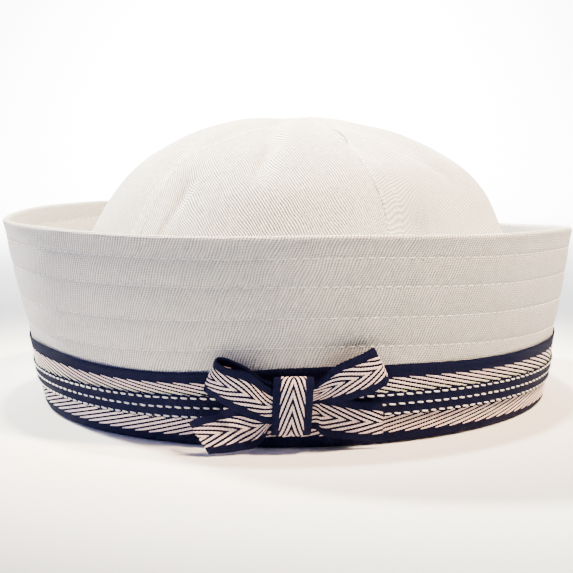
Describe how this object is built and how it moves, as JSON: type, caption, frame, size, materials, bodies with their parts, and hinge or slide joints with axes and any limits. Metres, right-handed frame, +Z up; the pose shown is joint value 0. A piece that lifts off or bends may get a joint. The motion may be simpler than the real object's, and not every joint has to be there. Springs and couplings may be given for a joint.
{
  "type": "sailor cap",
  "caption": "Soft cotton sailor cap with a gored round crown, a tall turned-up stitched brim, a herringbone ribbon around its foot and a flat ribbon bow at the front.",
  "frame": {"origin": "middle of the outer box, on the surface that the cap stands on", "axes": "+Z up through the apex of the crown, -Y out of the front, where the bow is, +X to the viewer's right"},
  "size_m": [0.2077, 0.2084, 0.1017],
  "materials": {
    "white_twill": "matte cotton twill, warm white",
    "herringbone_ribbon": "woven ribbon with pale pink herringbone stripes and navy edges",
    "navy_ribbon": "navy woven ribbon with white stitching"
  },
  "bodies": {
    "root": {"brim": "white_twill", "crown_front": "white_twill", "crown_right": "white_twill", "crown_back": "white_twill", "crown_left": "white_twill", "band_ribbon": "herringbone_ribbon", "band_stripe": "navy_ribbon", "bow_loop_left": "herringbone_ribbon", "bow_loop_right": "herringbone_ribbon", "bow_tail_left": "herringbone_ribbon", "bow_tail_right": "herringbone_ribbon", "bow_knot": "herringbone_ribbon"}
  },
  "joints": []
}
